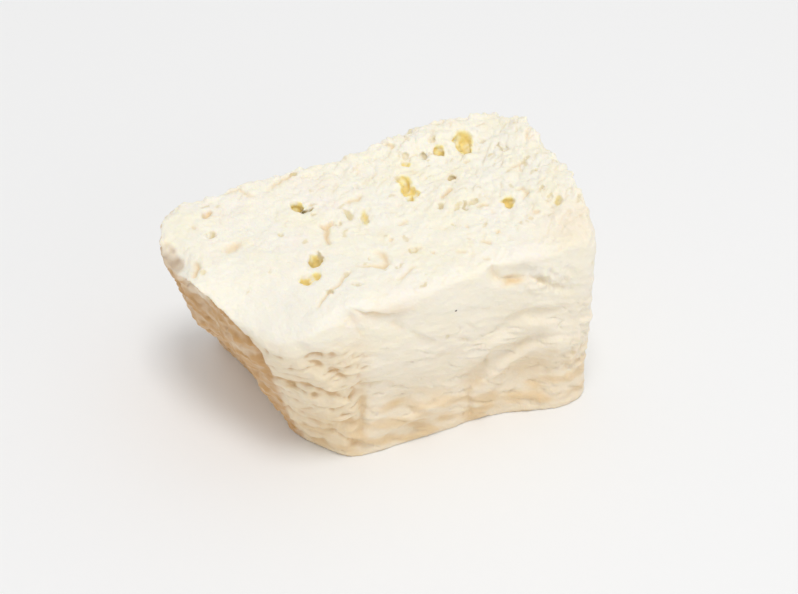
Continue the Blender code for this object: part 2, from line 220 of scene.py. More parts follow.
# Creases of the front skin, in mm: points x, z, then half width and depth
FRONT_CREASES = {
    "shell_rim": (((27.4, 72.5), (27.5, 69.2), (30.1, 65.2), (33.8, 64.0), (39.8, 63.9)),
                  0.9, 1.5),
    "shell_crack": (((39.8, 63.9), (44.2, 61.1), (49.4, 57.3), (53.2, 55.3)), 0.8, 1.2),
    "high_fold": (((32.4, 45.4), (34.0, 47.5), (37.5, 48.1), (43.0, 47.5), (51.8, 45.8)),
                  0.9, 0.8),
    "middle_fold": (((25.3, 22.9), (26.8, 28.0), (27.6, 34.6), (31.3, 35.3), (38.1, 32.4),
                     (43.2, 34.2)), 1.0, 1.0),
    "middle_low": (((26.2, 19.6), (31.6, 19.8), (35.7, 18.7)), 0.9, 0.7),
    "ledge": (((-23.4, 70.4), (-18.3, 67.7), (-6.8, 63.2)), 0.7, 1.5),
    "ledge_side": (((-22.7, 68.9), (-21.0, 62.2), (-19.5, 58.8)), 0.9, 0.6),
    "ledge_curl": (((-8.7, 61.4), (-5.4, 57.2)), 0.9, 0.7),
    "thin_1": (((-2.9, 56.2), (1.8, 50.7), (6.3, 47.3)), 0.7, 0.6),
    "thin_2": (((6.3, 41.1), (10.2, 39.1), (13.8, 39.0)), 0.7, 0.8),
    "thin_3": (((13.4, 46.1), (18.1, 43.4), (22.1, 39.6)), 0.7, 0.6),
    "wrinkle_1": (((-39.5, 54.7), (-35.2, 55.6), (-31.4, 53.6)), 0.8, 1.0),
    "wrinkle_2": (((-38.7, 54.0), (-33.7, 50.2), (-32.1, 48.7)), 0.8, 0.9),
    "wrinkle_3": (((-29.8, 46.7), (-24.6, 40.7)), 0.9, 0.9),
    "wrinkle_4": (((-43.2, 40.7), (-37.7, 39.1), (-32.0, 36.4), (-24.1, 31.0), (-20.1, 29.5)),
                  0.9, 1.1),
    "wrinkle_5": (((-24.7, 38.0), (-18.9, 33.7), (-11.7, 34.7), (-2.1, 26.2)), 0.8, 0.9),
    "corner_groove": (((-18.7, 28.9), (-18.6, 21.2), (-18.8, 12.0)), 1.2, 1.2),
    "wrinkle_6": (((-33.2, 27.6), (-28.5, 26.5)), 0.9, 0.9),
    "wrinkle_7": (((-31.1, 20.8), (-26.3, 18.4), (-19.2, 16.6)), 0.9, 1.0),
    "wrinkle_8": (((-29.6, 14.3), (-25.3, 12.1), (-17.9, 3.1)), 0.9, 1.1),
    "belly_tick": (((-20.7, 44.3), (-17.0, 45.6)), 0.7, 0.7),
    "warm_low": (((-4.4, 9.7), (3.4, 5.7)), 1.4, 0.6),
    "upright": (((20.6, 15.7), (20.9, 9.7), (22.3, 3.4)), 0.7, 1.0),
    "foot_tick": (((34.8, 9.4), (38.6, 11.4)), 0.9, 0.6),
    "foot_right": (((44.0, 7.5), (44.8, 2.4)), 0.8, 0.6),
    "small_1": (((17.0, 51.8), (21.0, 47.6)), 0.6, 0.5),
    "small_2": (((22.6, 55.4), (26.3, 54.6)), 0.6, 0.5),
}
CRACK_WANDER = 0.8
STREAK_SLANT = 16.0

# Rolls of the front skin, in mm: points x, z, then half width and rise
FRONT_ROLLS = {
    "high_roll": (((28.5, 38.5), (35.5, 43.0), (45.5, 43.5)), 3.0, 0.8),
    "middle_roll": (((21.5, 15.0), (29.5, 24.5), (39.5, 29.5), (52.5, 31.5)), 2.6, 0.9),
    "ledge_lip": (((-24.5, 73.0), (-16.5, 70.5), (-5.5, 66.5)), 2.2, 0.5),
    "corner_roll": (((-44.5, 47.5), (-34.5, 44.5), (-26.5, 37.5)), 2.8, 0.9),
    "corner_knob": (((-20.0, 35.0), (-18.7, 31.0)), 2.2, 0.8),
    "low_roll": (((-2.5, 12.5), (4.5, 15.5), (12.5, 15.0)), 2.2, 0.9),
    "foot_roll": (((-30.5, 8.5), (-23.5, 7.5)), 2.4, 0.7),
    "heel": (((47.5, 9.0), (52.5, 13.0)), 3.5, 0.7),
}

# Swells and dips, in mm: centre, reach along each axis, rise
SWELLS = {
    "shell": ((34.0, -37.8, 68.6), (6.5, 8.0, 3.6), -0.9),
    "shell_pocket": ((34.6, -37.8, 63.4), (2.8, 5.0, 1.2), -1.2),
    "front_hollow": ((42.5, -37.8, 20.5), (9.0, 9.0, 7.0), -0.9),
    "warm_hollow": ((-5.5, -36.8, 21.0), (8.0, 8.0, 4.0), -0.9),
    "warm_low": ((-0.5, -36.8, 7.6), (6.0, 8.0, 2.2), -0.7),
    "brow_dip": ((15.5, -39.8, 68.0), (12.0, 6.0, 4.0), -0.5),
    "belly_left": ((-10.5, -39.8, 47.0), (9.0, 9.0, 8.0), 0.7),
    "belly_right": ((15.5, -39.8, 60.0), (10.0, 9.0, 6.0), 0.5),
    "hole_1": ((-40.9, -29.5, 36.3), (1.3, 6.0, 1.1), -1.5),
    "hole_2": ((-34.9, -34.2, 34.7), (1.5, 6.0, 0.9), -1.3),
    "hole_3": ((-22.3, -35.9, 30.2), (1.4, 6.0, 1.0), -1.5),
    "foot_dip": ((11.5, -37.8, 8.0), (5.0, 8.0, 6.0), -0.5),
}

# The edge between the pale worn corner and the torn left wall: heights and y, in mm
WALL_EDGE_HEIGHTS = (9.0, 17.7, 30.9, 43.0, 52.1, 53.4, 59.0, 63.5, 65.4)
WALL_EDGE = (-20.6, -21.0, -23.8, -24.3, -23.4, -20.4, -18.0, -14.2, -11.3)

# Where the regions begin and where they are whole: how far the surface faces up, forward or
# left, and places in mm
TOP_FACING = (0.30, 0.80)
FRONT_FACING = (0.20, 0.75)
LEFT_FACING = (0.10, 0.40)
SLOPE_FACING = (0.15, 0.45)
WALL_X = (24.0, 34.0)
WALL_SEAM = (-1.2, 1.2)
CORNER_X = (13.0, 24.0)
CORNER_Y = (12.0, 24.0)
CORNER_BROW = (50.0, 64.0)
SKIN_BROW = (36.0, 64.0)
CREAM_BROW = (34.0, 66.0)
# heights over which the painted warm bounce light fades out up the front
BOUNCE_BROW = (6.0, 36.0)
LIP_FOOT = (30.0, 48.0)
LIP_MIDDLE = 1.6
LIP_WIDTH = 1.5
FOOT_CALM = (0.0, 2.5)

# Warm tints, in mm: centre, reach along each axis, strength. They are partly stains, partly
# painted shade in the hollows, grooves and holes, and partly painted warm bounce light low on the
# front
WARM_SPOTS = {
    "shell_pocket": ((34.4, -38.0, 62.8), (3.6, 6.0, 1.0), 0.9),
    "belly_left": ((-6.5, -37.0, 20.0), (6.5, 8.0, 2.4), 1.0),
    "foot_left": ((0.5, -37.0, 9.6), (6.5, 8.0, 1.7), 1.0),
    "upright": ((20.5, -37.0, 16.0), (1.8, 8.0, 4.4), 0.6),
    "hollow": ((43.0, -37.0, 20.0), (11.0, 9.0, 9.0), 0.5),
    "right_spot": ((49.5, -38.0, 28.0), (2.4, 6.0, 1.7), 0.6),
    "right_low_spot": ((55.0, -38.0, 19.0), (2.0, 6.0, 2.4), 0.6),
    "groove": ((-18.6, -37.0, 26.0), (2.0, 8.0, 6.0), 0.7),
    "groove_foot": ((-20.0, -36.0, 10.0), (3.0, 8.0, 5.0), 0.6),
    "ledge": ((-12.0, -38.0, 66.0), (10.0, 8.0, 1.6), 0.35),
    "hole_1": ((-40.9, -29.5, 36.3), (1.2, 6.0, 1.0), 1.0),
    "hole_2": ((-34.9, -34.2, 34.7), (1.5, 6.0, 0.8), 1.0),
    "hole_3": ((-22.3, -35.9, 30.2), (1.3, 6.0, 0.9), 1.0),
    "left_dip": ((-46.0, 7.6, 70.5), (3.6, 1.5, 4.0), 0.35),
    "wall_spot": ((-58.4, -15.0, 58.6), (2.6, 3.0, 1.8), 0.9),
    "wall_spot_low": ((-53.4, -21.0, 53.4), (2.2, 3.0, 2.2), 0.9),
}

# Crumbly places of the front, in mm: centre and reach along each axis
CRUMBLY_SPOTS = {
    "under_shell": ((47.0, -38.0, 60.0), (10.0, 9.0, 7.0)),
    "right_edge": ((60.0, -40.0, 26.0), (5.0, 9.0, 18.0)),
}

# Single places, in mm: the notch of the left wall and its pale shelf, the worn left of the top,
# the right shoulder and the dark speck on the front; the notch, the worn top and the shoulder
# get painted shade, and the shelf is spared the wall's painted shade
NOTCH_PLACE = (-66.5, 13.0, 67.0)
NOTCH_REACH = (3.2, 7.0, 4.6)
SHELF_PLACE = (-63.0, 1.0, 61.0)
SHELF_REACH = (5.0, 7.0, 6.0)
WORN_PLACE = (-40.0, -24.0, 68.0)
WORN_REACH = (26.0, 20.0, 14.0)
SHOULDER_PLACE = (60.0, -31.0, 75.0)
SHOULDER_REACH = (14.0, 12.0, 9.0)
SPECK_PLACE = Vector((13.4, -38.6, 58.8)) * MM
SPECK_RADIUS = 0.6 * MM

# Smooth noises of the relief: the size of their lumps in mm, on each axis or on all, and a
# shift that sets each one apart
LUMPS = {
    "pit": (2.2, 0.0),
    "pit_grain": (1.1, 5.0),
    "broad": (9.0, 2.0),
    "grain": (1.7, 4.0),
    "rim": (4.2, 71.0),
    "fibres": ((6.5, 6.5, 2.4), 21.0),
    "wall": (2.8, 23.0),
    "notch": ((2.6, 2.6, 4.5), 25.0),
    "corner": ((7.0, 7.0, 4.4), 61.0),
    "corner_grain": ((3.2, 3.2, 2.3), 64.0),
    "skin": ((13.0, 13.0, 5.5), 33.0),
    "skin_grain": ((4.4, 4.4, 2.0), 36.0),
    "warm_patches": ((9.0, 9.0, 4.0), 48.0),
    "front_crumbs": (2.4, 90.0),
}

# Broken hair-fine creases: the size of the noise they follow in mm, their width as a share of
# its height, and a shift that sets each kind apart
HAIR_CREASES = {
    "slits": ((7.0, 2.6, 9.0), 0.09, 40.0),
    "layers": ((9.0, 9.0, 3.4), 0.10, 12.0),
    "folds": ((10.0, 10.0, 3.0), 0.12, 52.0),
    "wrinkles": ((10.0, 10.0, 3.6), 0.07, 77.0),
}
SLIT_SLANT = -32.0

# Smooth shifts of places in x, y and z: the size of their lumps in mm, and three shifts
WANDER = (4.0, (3.0, 9.0, 15.0))
UNEVEN = (1.9, (41.0, 43.0, 47.0))
UNEVEN_EYES = 0.8

# Curds and crumbs are cells round seeds: their sizes in mm, and how far from its seed a cell's
# surface crosses the level of the whole
CURD_SIZE = 6.0
CURD_LEVEL = 0.5
CRUMB_SIZE = 2.6
CRUMB_LEVEL = 0.42
CRUMB_SHIFT = 7.0

# Heights and depths of the relief, in mm; the pairs are at the brow and what the foot adds
PIT_RISE = 0.75
PIT_GRAIN = 0.35
CURD_RISE = 0.8
CRUMB_RISE = 0.8
BROAD_RISE = 0.5
SLIT_DEPTH = 0.6
RIM_RISE = 1.2
RIM_CRUMBS = 0.9
FIBRE_RISE = 0.8
LAYER_DEPTH = 0.6
WALL_RISE = 0.6
NOTCH_DEPTH = 0.5
NOTCH_RISE = 0.9
UNDERCUT_DEPTH = 1.0
CORNER_RISE = 0.9
CORNER_FINE = 0.75
FOLD_DEPTH = 0.5
SKIN_RISE = (0.3, 0.35)
SKIN_GRAIN = (0.16, 0.40)
WRINKLE_DEPTH = (0.16, 0.42)
FRONT_LUMPS = 1.2
FRONT_CRUMBS = 1.6
# How much of the drawn depth or height the creases and rolls of the front have, and the share
# of a groove's depth that rises beside it
CREASE_SHARE = 0.75
ROLL_SHARE = 0.7
CRACK_ROLL = 0.3
CREASE_ROLL = 0.45


class Value:
    """A number socket of a shader, on which Python's operators add Math nodes."""

    def __init__(self, shader, socket):
        self.shader = shader
        self.socket = socket

    def math(self, operation, *others):
        """One Math node: this value first, then the others."""
        return self.shader.add("ShaderNodeMath", {"operation": operation}, (self, *others))

    def __add__(self, other):
        return self.math("ADD", other)

    def __radd__(self, other):
        return self.math("ADD", other)

    def __sub__(self, other):
        return self.math("SUBTRACT", other)

    def __rsub__(self, other):
        return self.shader.add("ShaderNodeMath", {"operation": "SUBTRACT"}, (other, self))

    def __mul__(self, other):
        return self.math("MULTIPLY", other)

    def __rmul__(self, other):
        return self.math("MULTIPLY", other)

    def above(self, low, high):
        """A soft step from 0 at low to 1 at high."""
        step = {"interpolation_type": "SMOOTHSTEP"}
        return self.shader.add("ShaderNodeMapRange", step,
                               {"Value": self, "From Min": low, "From Max": high})


class Shader:
    """The node tree of one material, built by short calls."""

    def __init__(self, name):
        self.material = bpy.data.materials.new(name)
        self.material.use_nodes = True
        self.tree = self.material.node_tree
        self.surface = self.tree.nodes["Principled BSDF"]

    def feed(self, socket, value):
        """Link a value or a socket to a socket, or set its number."""
        if isinstance(value, Value):
            value = value.socket
        if isinstance(value, bpy.types.NodeSocket):
            self.tree.links.new(value, socket)
        else:
            socket.default_value = value

    def finish(self, name, value):
        """Feed one socket of the surface."""
        self.feed(self.surface.inputs[name], value)

    def add(self, kind, settings=None, inputs=(), output=0):
        """A node of any kind: settings first, then its sockets by name or in order."""
        node = self.tree.nodes.new(kind)
        for name, value in (settings or {}).items():
            setattr(node, name, value)
        pairs = inputs.items() if isinstance(inputs, dict) else enumerate(inputs)
        for key, value in pairs:
            self.feed(node.inputs[key], value)
        return Value(self, node.outputs[output])

    def mix(self, low, high, share):
        """A colour between two, by a share."""
        node = self.tree.nodes.new("ShaderNodeMix")
        node.data_type = "RGBA"
        for name, value in {"Factor": share, "A": low, "B": high}.items():
            socket = next(s for s in node.inputs if s.name == name and s.enabled)
            self.feed(socket, value)
        return next(s for s in node.outputs if s.enabled)

    def attribute(self, name):
        """A number stored at the piece's vertices."""
        return self.add("ShaderNodeAttribute", {"attribute_name": name}, output="Fac")

    def place(self, stretch, slant=0.0):
        """Object coordinates in mm, stretched on each axis and leaning up to the right."""
        place = self.add("ShaderNodeTexCoord", None, (), "Object")
        if slant:
            turn = {"Vector": place, "Rotation": (0.0, math.radians(slant), 0.0)}
            place = self.add("ShaderNodeMapping", None, turn)
        scale = tuple(1.0 / (MM * s) for s in stretch)
        return self.add("ShaderNodeMapping", None, {"Vector": place, "Scale": scale})

    def distance(self, centre):
        """How far the surface is from a place, in metres."""
        place = self.add("ShaderNodeTexCoord", None, (), "Object")
        settings = {"operation": "DISTANCE"}
        return self.add("ShaderNodeVectorMath", settings, (place, centre), "Value")

    def noise(self, stretch, detail=2.0, roughness=0.5, slant=0.0):
        """Soft noise from about 0 to 1, its lumps as large as the stretch in mm."""
        inputs = {"Vector": self.place(stretch, slant), "Scale": 1.0, "Detail": detail,
                  "Roughness": roughness}
        return self.add("ShaderNodeTexNoise", None, inputs)


def only(thing):
    """Make one object the only selected one, and the active one."""
    bpy.ops.object.select_all(action="DESELECT")
    thing.select_set(True)
    bpy.context.view_layer.objects.active = thing


def apply_modifier(thing, kind, **settings):
    """Add a modifier, give it its settings and apply it."""
    only(thing)
    modifier = thing.modifiers.new(kind.lower(), kind)
    for name, value in settings.items():
        setattr(modifier, name, value)
    bpy.ops.object.modifier_apply(modifier=modifier.name)


def read_rows(thing, kind="places"):
    """Vertex places in mm, or their normals, as rows of an array."""
    rows = np.empty(len(thing.data.vertices) * 3)
    if kind == "normals":
        thing.data.vertex_normals.foreach_get("vector", rows)
        return rows.reshape(-1, 3)
    thing.data.vertices.foreach_get("co", rows)
    return rows.reshape(-1, 3) / MM


def write_rows(thing, rows):
    """Put rows of places in mm back into a mesh."""
    thing.data.vertices.foreach_set("co", rows.ravel() * MM)
    thing.data.update()


def store(thing, name, values):
    """Keep a number at every vertex, for the material."""
    layer = thing.data.attributes.get(name) or thing.data.attributes.new(name, "FLOAT", "POINT")
    layer.data.foreach_set("value", values)


def ramp(value, low, high):
    """A soft step from 0 at low to 1 at high."""
    part = np.clip((value - low) / (high - low), 0.0, 1.0)
    return part * part * (3.0 - 2.0 * part)


def bump(rows, centre, reach):
    """A soft bump of height 1 round a place; the reach is one number or one for each axis."""
    gap = (rows - np.array(centre)) / np.array(reach)
    return np.exp(-(gap ** 2).sum(axis=1))


def turned(degrees):
    """The matrix of a turn about the upright axis."""
    return Matrix.Rotation(math.radians(degrees), 3, "Z")


def noise_rows(rows, stretch, shift):
    """Smooth noise from about -1 to 1 at each place, its lumps as large as the stretch."""
    spots = rows / np.array(stretch) + shift
    return np.array([noise.noise(Vector(spot)) for spot in spots.tolist()])


def lumps(rows, name):
    """The smooth noise of that name at each place, from about -1 to 1."""
    return noise_rows(rows, *LUMPS[name])


def hair_creases(rows, name):
    """Broken hair-fine creases of that name: where a stretched noise crosses nought."""
    stretch, width, shift = HAIR_CREASES[name]
    line = noise_rows(rows, stretch, shift)
    broken = ramp(noise_rows(rows, np.array(stretch) * 0.9, shift + 31.0), 0.0, 0.25)
    return np.exp(-(line / width) ** 2) * broken


def drift(rows, size, shifts):
    """A smooth shift of each place in x, y and z, from about -1 to 1 in each."""
    return np.stack([noise_rows(rows, size, shift) for shift in shifts], axis=1)


def cells(rows, size, shift=0.0):
    """For each place, how far off the nearest seed is and how far inside its cell it lies."""
    out = np.empty((len(rows), 2))
    for i, spot in enumerate((rows / size + shift).tolist()):
        gaps = noise.voronoi(Vector(spot))[0]
        out[i] = (gaps[0], gaps[1] - gaps[0])
    return out[:, 0], out[:, 1]


def camera():
    """The camera at the photograph's viewing angle."""
    data = bpy.data.cameras.new("photo_camera")
    data.lens = CAMERA_LENS
    data.sensor_width = SENSOR_WIDTH
    data.clip_start = CLIP_START
    data.clip_end = CLIP_END
    holder = bpy.data.objects.new("photo_camera", data)
    bpy.context.scene.collection.objects.link(holder)
    back = Vector((
        math.sin(CAMERA_AZIMUTH) * math.cos(CAMERA_ELEVATION),
        -math.cos(CAMERA_AZIMUTH) * math.cos(CAMERA_ELEVATION),
        math.sin(CAMERA_ELEVATION),
    ))
    holder.location = CAMERA_PLACE
    holder.rotation_euler = back.to_track_quat("Z", "Y").to_euler()
    bpy.context.scene.camera = holder


def area_light(name, place, size, power):
    """A soft square light that looks at the middle of the block."""
    data = bpy.data.lights.new(name, "AREA")
    data.size = size
    data.energy = power
    holder = bpy.data.objects.new(name, data)
    bpy.context.scene.collection.objects.link(holder)
    holder.location = place
    aim = Vector(place) - LIGHT_AIM
    holder.rotation_euler = aim.to_track_quat("Z", "Y").to_euler()


def studio():
    """A pale floor under soft light."""
    world = bpy.data.worlds.new("soft_white")
    world.use_nodes = True
    background = world.node_tree.nodes["Background"]
    background.inputs["Color"].default_value = (1.0, 1.0, 1.0, 1.0)
    background.inputs["Strength"].default_value = SURROUNDINGS
    bpy.context.scene.world = world
    bpy.context.scene.view_settings.view_transform = "Standard"
    for name, (place, size, power) in LIGHTS.items():
        area_light(name, place, size, power)
    bpy.ops.object.select_all(action="DESELECT")
    bpy.ops.mesh.primitive_plane_add(size=FLOOR_SIZE)
    floor = bpy.context.active_object
    floor.name = "floor"
    shader = Shader("pale_floor")
    shader.finish("Base Color", FLOOR_TONE)
    shader.finish("Roughness", 0.9)
    shader.finish("Specular IOR Level", 0.1)
    floor.data.materials.append(shader.material)


def fine_copy():
    """A finer copy of the CAD block, merged, with even faces and its facets rounded off."""
    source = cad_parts["cheese_block"]
    curd = bpy.data.objects.new("cheese_curd", source.data.copy())
    bpy.context.scene.collection.objects.link(curd)
    only(curd)
    bpy.ops.object.mode_set(mode="EDIT")
    bpy.ops.mesh.select_all(action="SELECT")
    bpy.ops.mesh.remove_doubles(threshold=MERGE_GAP)
    bpy.ops.object.mode_set(mode="OBJECT")
    apply_modifier(curd, "REMESH", mode="VOXEL", voxel_size=ROUGH_GRAIN)
    apply_modifier(curd, "SMOOTH", factor=0.5, iterations=FACET_ROUNDING)
    return curd


def eye_seat(place, normal, turn, width, length, depth, shade):
    """One eye: its centre, the matrix of its axes, its half sizes and depth, its darkness."""
    level = normal.z > LEVEL_FACING
    lean = Matrix.Identity(3) if level else normal.to_track_quat("Z", "Y").to_matrix()
    shape = Vector((width / 2, length / 2, depth)) * MM
    centre = place - normal * depth * EYE_SINK * MM
    return centre, lean @ turned(EYE_TURN + turn), shape, shade


def placed_seats(skin, sky):
    """The eyes whose places are known, each level with the top round it."""
    seats = []
    for x, y, width, length, turn, depth, shade in TOP_EYES.values():
        reach = Vector((length / 2 * EYE_RING * MM, 0.0, 0.0))
        heights = []
        for step in range(EYE_LOOKS):
            look = Vector((x * MM, y * MM, sky)) + turned(360.0 / EYE_LOOKS * step) @ reach
            hit = skin.ray_cast(look, DOWN)[0]
            if hit is not None:
                heights.append(hit.z)
        level = sorted(heights)[len(heights) // 2]
        place = Vector((x * MM, y * MM, level))
        seats.append(eye_seat(place, UP, turn, width, length, depth, shade))
    return seats


def slit_seats(skin, sky, draw):
    """Small eyes and slits drawn for the top, more of them to the back right."""
    low, high = cad_box
    seats = []
    for _ in range(SCATTERED_TOP):
        x = draw.uniform(low.x, high.x)
        y = draw.uniform(low.y, high.y)
        width = draw.uniform(*SCATTER_WIDTHS) * draw.uniform(*SCATTER_THINNING)
        length = width * draw.choice(SLIT_LENGTHS)
        depth = width * draw.uniform(*SCATTER_DEPTHS)
        if draw.random() < SLIT_SHARE + SLIT_GROWTH * x + SLIT_GROWTH * y:
            place = skin.ray_cast(Vector((x, y, sky)), DOWN)[0]
            turn = SLIT_TURN + draw.gauss(0.0, SLIT_SPREAD)
            if place is not None:
                seats.append(eye_seat(place, UP, turn, width, length, depth, SCATTER_SHADE))
    return seats


def side_seats(skin, draw):
    """Small eyes drawn for the right side and the back, which are cut faces."""
    high = cad_box[1]
    seats = []
    for _ in range(SCATTERED_SIDES):
        width = draw.uniform(*SCATTER_WIDTHS) * draw.uniform(*SCATTER_THINNING)
        length = width * draw.choice(SIDE_LENGTHS)
        bearing = math.radians(draw.uniform(*SIDE_BEARINGS))
        way = Vector((-math.cos(bearing), -math.sin(bearing), 0.0))
        middle = Vector((draw.uniform(*SIDE_MIDDLE_X), draw.uniform(*SIDE_MIDDLE_Y),
                         draw.uniform(SIDE_FOOT, high.z)))
        place, normal = skin.ray_cast(middle - way * SIDE_LOOK, way)[:2]
        if place is not None:
            turn = draw.uniform(0.0, 180.0)
            depth = width * SIDE_DEPTH
            seats.append(eye_seat(place, normal, turn, width, length, depth, SIDE_SHADE))
    return seats


def eye_seats(curd):
    """Every eye of the block, the placed ones first."""
    skin = BVHTree.FromObject(curd, bpy.context.evaluated_depsgraph_get())
    sky = 2 * cad_box[1].z
    draw = random.Random(SCATTER_SEED)
    return placed_seats(skin, sky) + slit_seats(skin, sky, draw) + side_seats(skin, draw)


def cut_eyes(curd, seats):
    """Cut every eye out of the curd with an uneven ball, sunk so that its rim is crisp."""
    bpy.ops.object.select_all(action="DESELECT")
    bpy.ops.mesh.primitive_ico_sphere_add(subdivisions=2, radius=0.2 * MM, location=seats[0][0])
    cutters = bpy.context.active_object
    cutters.name = "eye_cutters"
    bpy.ops.object.transform_apply(location=True, rotation=True, scale=True)
    bpy.ops.object.mode_set(mode="EDIT")
    for place, axes, shape, _ in seats:
        bpy.ops.mesh.primitive_ico_sphere_add(subdivisions=3, radius=1.0, location=place,
                                              rotation=axes.to_euler(), scale=shape)
    bpy.ops.object.mode_set(mode="OBJECT")
    apply_modifier(cutters, "REMESH", mode="VOXEL", voxel_size=CUTTER_GRAIN)
    rows = read_rows(cutters)
    rise = PIT_RISE * lumps(rows, "pit") + PIT_GRAIN * lumps(rows, "pit_grain")
    write_rows(cutters, rows + read_rows(cutters, "normals") * rise[:, None])
    apply_modifier(curd, "BOOLEAN", operation="DIFFERENCE", object=cutters, solver="MANIFOLD")
    bpy.data.objects.remove(cutters)
    apply_modifier(curd, "REMESH", mode="VOXEL", voxel_size=FINE_GRAIN)
    apply_modifier(curd, "SMOOTH", factor=0.5, iterations=1)


def eye_shares(rows, seats):
    """How far inside an eye each place is, up to 1 in a large one, and how much painted shade it
    gets there.
    """
    share = np.zeros(len(rows))
    dark = np.zeros(len(rows))
    for place, axes, shape, shade in seats:
        middle = np.array(place) / MM
        sizes = np.array(shape) / MM
        near = np.flatnonzero(np.abs(rows - middle).max(axis=1) < sizes.max() * 1.5)
        own = (rows[near] - middle) @ np.array(axes) / sizes
        inside = np.linalg.norm(own, axis=1)
        large = ramp(sizes[0], 0.7, 1.5)
        depth = (1.0 - ramp(inside, 0.75, EYE_REACH)) * (0.32 + 0.68 * large)
        share[near] = np.maximum(share[near], depth)
        along = (rows[near] - middle) @ np.array(SHADE_WAY) / sizes[:2].max()
        sunk = ramp(-own[:, 2], -0.1, 0.5) * ramp(along, -0.8, 0.6)
        core = shade * (1.0 - large * (1.0 - sunk)) * (1.0 - ramp(inside, 0.95, 1.35))
        dark[near] = np.maximum(dark[near], core)
    return share, dark


def line_rise(flat, lines, roll):
    """How the surface rises along each named line, from places in two axes.

    A line that sinks is a groove under a soft roll, and all of them fade at their ends.
    """
    rise = np.zeros(len(flat))
    for points, width, height in lines.values():
        points = np.array(points)
        runs = points[1:] - points[:-1]
        lengths = np.linalg.norm(runs, axis=1)
        nearest = np.full(len(flat), 1e9)
        along = np.zeros(len(flat))
        side = np.zeros(len(flat))
        for start, run, length, done in zip(points, runs, lengths, np.cumsum(lengths) - lengths):
            off = flat - start
            part = np.clip(off @ run / length ** 2, 0.0, 1.0)
            gap = np.linalg.norm(off - part[:, None] * run, axis=1)
            closer = gap < nearest
            nearest[closer] = gap[closer]
            along[closer] = (done + part[closer] * length) / lengths.sum()
            side[closer] = np.sign(run[0] * off[closer, 1] - run[1] * off[closer, 0])
        fade = 1.0 - (2.0 * along - 1.0) ** 4
        ridge = np.exp(-((nearest * side - 2.4 * width) / (1.7 * width)) ** 2)
        rise += height * fade * (np.exp(-(nearest / width) ** 1.6) - roll * ridge)
    return rise


def softened(curd):
    """Places and normals of the curd's surface with all that is small rounded off."""
    soft = bpy.data.objects.new("softened", curd.data.copy())
    bpy.context.scene.collection.objects.link(soft)
    apply_modifier(soft, "SMOOTH", factor=0.5, iterations=SOFT_ROUNDING)
    rows = read_rows(soft)
    normals = read_rows(soft, "normals")
    bpy.data.objects.remove(soft)
    return rows, normals


class Surface:
    """The curd before its relief: each vertex's place in mm and its share of every region."""

    def __init__(self, curd):
        rows = read_rows(curd)
        normals = softened(curd)[1]
        self.rows = rows
        self.wander = drift(rows, *WANDER)
        self.flat = rows + self.wander * CRACK_WANDER
        self.slanted = rows @ np.array(Matrix.Rotation(math.radians(-STREAK_SLANT), 3, "Y")).T
        self.crumbs = CRUMB_LEVEL - cells(rows + self.wander, CRUMB_SIZE, CRUMB_SHIFT)[0]
        self.find_regions(normals)
        self.find_rough()
        self.find_marks()

    def find_regions(self, normals):
        """The top, the front skin, the torn left wall, the worn corner, the cut sides' rim."""
        x, y, z = self.rows.T
        self.top = ramp(normals[:, 2], *TOP_FACING)
        self.front = ramp(-normals[:, 1], *FRONT_FACING) * (1.0 - self.top)
        self.behind = y - np.interp(z, WALL_EDGE_HEIGHTS, WALL_EDGE)
        slope = ramp(normals[:, 2], *SLOPE_FACING)
        wall = ramp(-normals[:, 0], *LEFT_FACING) * (1.0 - slope)
        self.left = wall * ramp(-x, *WALL_X) * ramp(self.behind, *WALL_SEAM)
        self.rim = ramp(normals[:, :2].max(axis=1), *LEFT_FACING) * slope
        near = ramp(-x, *CORNER_X) * ramp(-y, *CORNER_Y) * (1.0 - ramp(z, *CORNER_BROW))
        self.corner = (1.0 - self.top) * near * (1.0 - self.left)
        self.skin = self.front * (1.0 - self.corner)
        self.forward = np.maximum(self.front, self.corner)

    def find_rough(self):
        """Where the top is worn, where the curd is bare, and how crumbly it is there."""
        x, y, _ = self.rows.T
        self.worn = bump(self.rows, WORN_PLACE, WORN_REACH)
        self.rough = 1.0 - self.front - self.corner * (1.0 - self.front)
        self.rough *= 1.0 - 0.8 * self.worn
        self.crumbly = self.rough * (0.35 + 0.65 * ramp(x + 1.4 * y, -10.0, 70.0))
        self.crumbly *= 0.5 + 0.5 * self.top

    def find_marks(self):
        """What both sinks and carries painted shade: slits, cracks, creases, fibres, undercut and
        notch.
        """
        turned_rows = self.rows @ np.array(turned(SLIT_SLANT)).T
        self.slits = hair_creases(turned_rows, "slits") * self.crumbly * self.top
        self.cracks = line_rise(self.flat[:, [0, 1]], TOP_CRACKS, CRACK_ROLL) * self.top
        creases = line_rise(self.flat[:, [0, 2]], FRONT_CREASES, CREASE_ROLL)
        self.creases = CREASE_SHARE * creases * self.forward
        self.fibres = lumps(self.rows + self.wander * 0.8, "fibres")
        lip = np.exp(-((self.behind - LIP_MIDDLE) / LIP_WIDTH) ** 2)
        self.undercut = lip * self.left * ramp(self.rows[:, 2], *LIP_FOOT)
        self.notch = ramp(bump(self.flat, NOTCH_PLACE, NOTCH_REACH), 0.2, 0.65)
        self.notch_lumps = lumps(self.rows, "notch")


def bare_rise(face):
    """Curds with gaps between them, crumbs and slits, rougher on the rim of the cut sides."""
    seed_gap, inside = cells(face.rows + face.wander * 1.5, CURD_SIZE)
    curds = CURD_RISE * (CURD_LEVEL - seed_gap) + CRUMB_RISE * face.crumbs
    gaps = (0.1 + 0.3 * face.top) * (1.0 - ramp(inside, 0.0, 0.16))
    rise = face.crumbly * (curds + BROAD_RISE * lumps(face.rows, "broad") - gaps)
    rise += (0.22 * face.rough + 0.10) * lumps(face.rows, "grain")
    rise += face.rim * (RIM_RISE * lumps(face.rows, "rim") + RIM_CRUMBS * face.crumbs)
    return rise - SLIT_DEPTH * face.slits - face.cracks


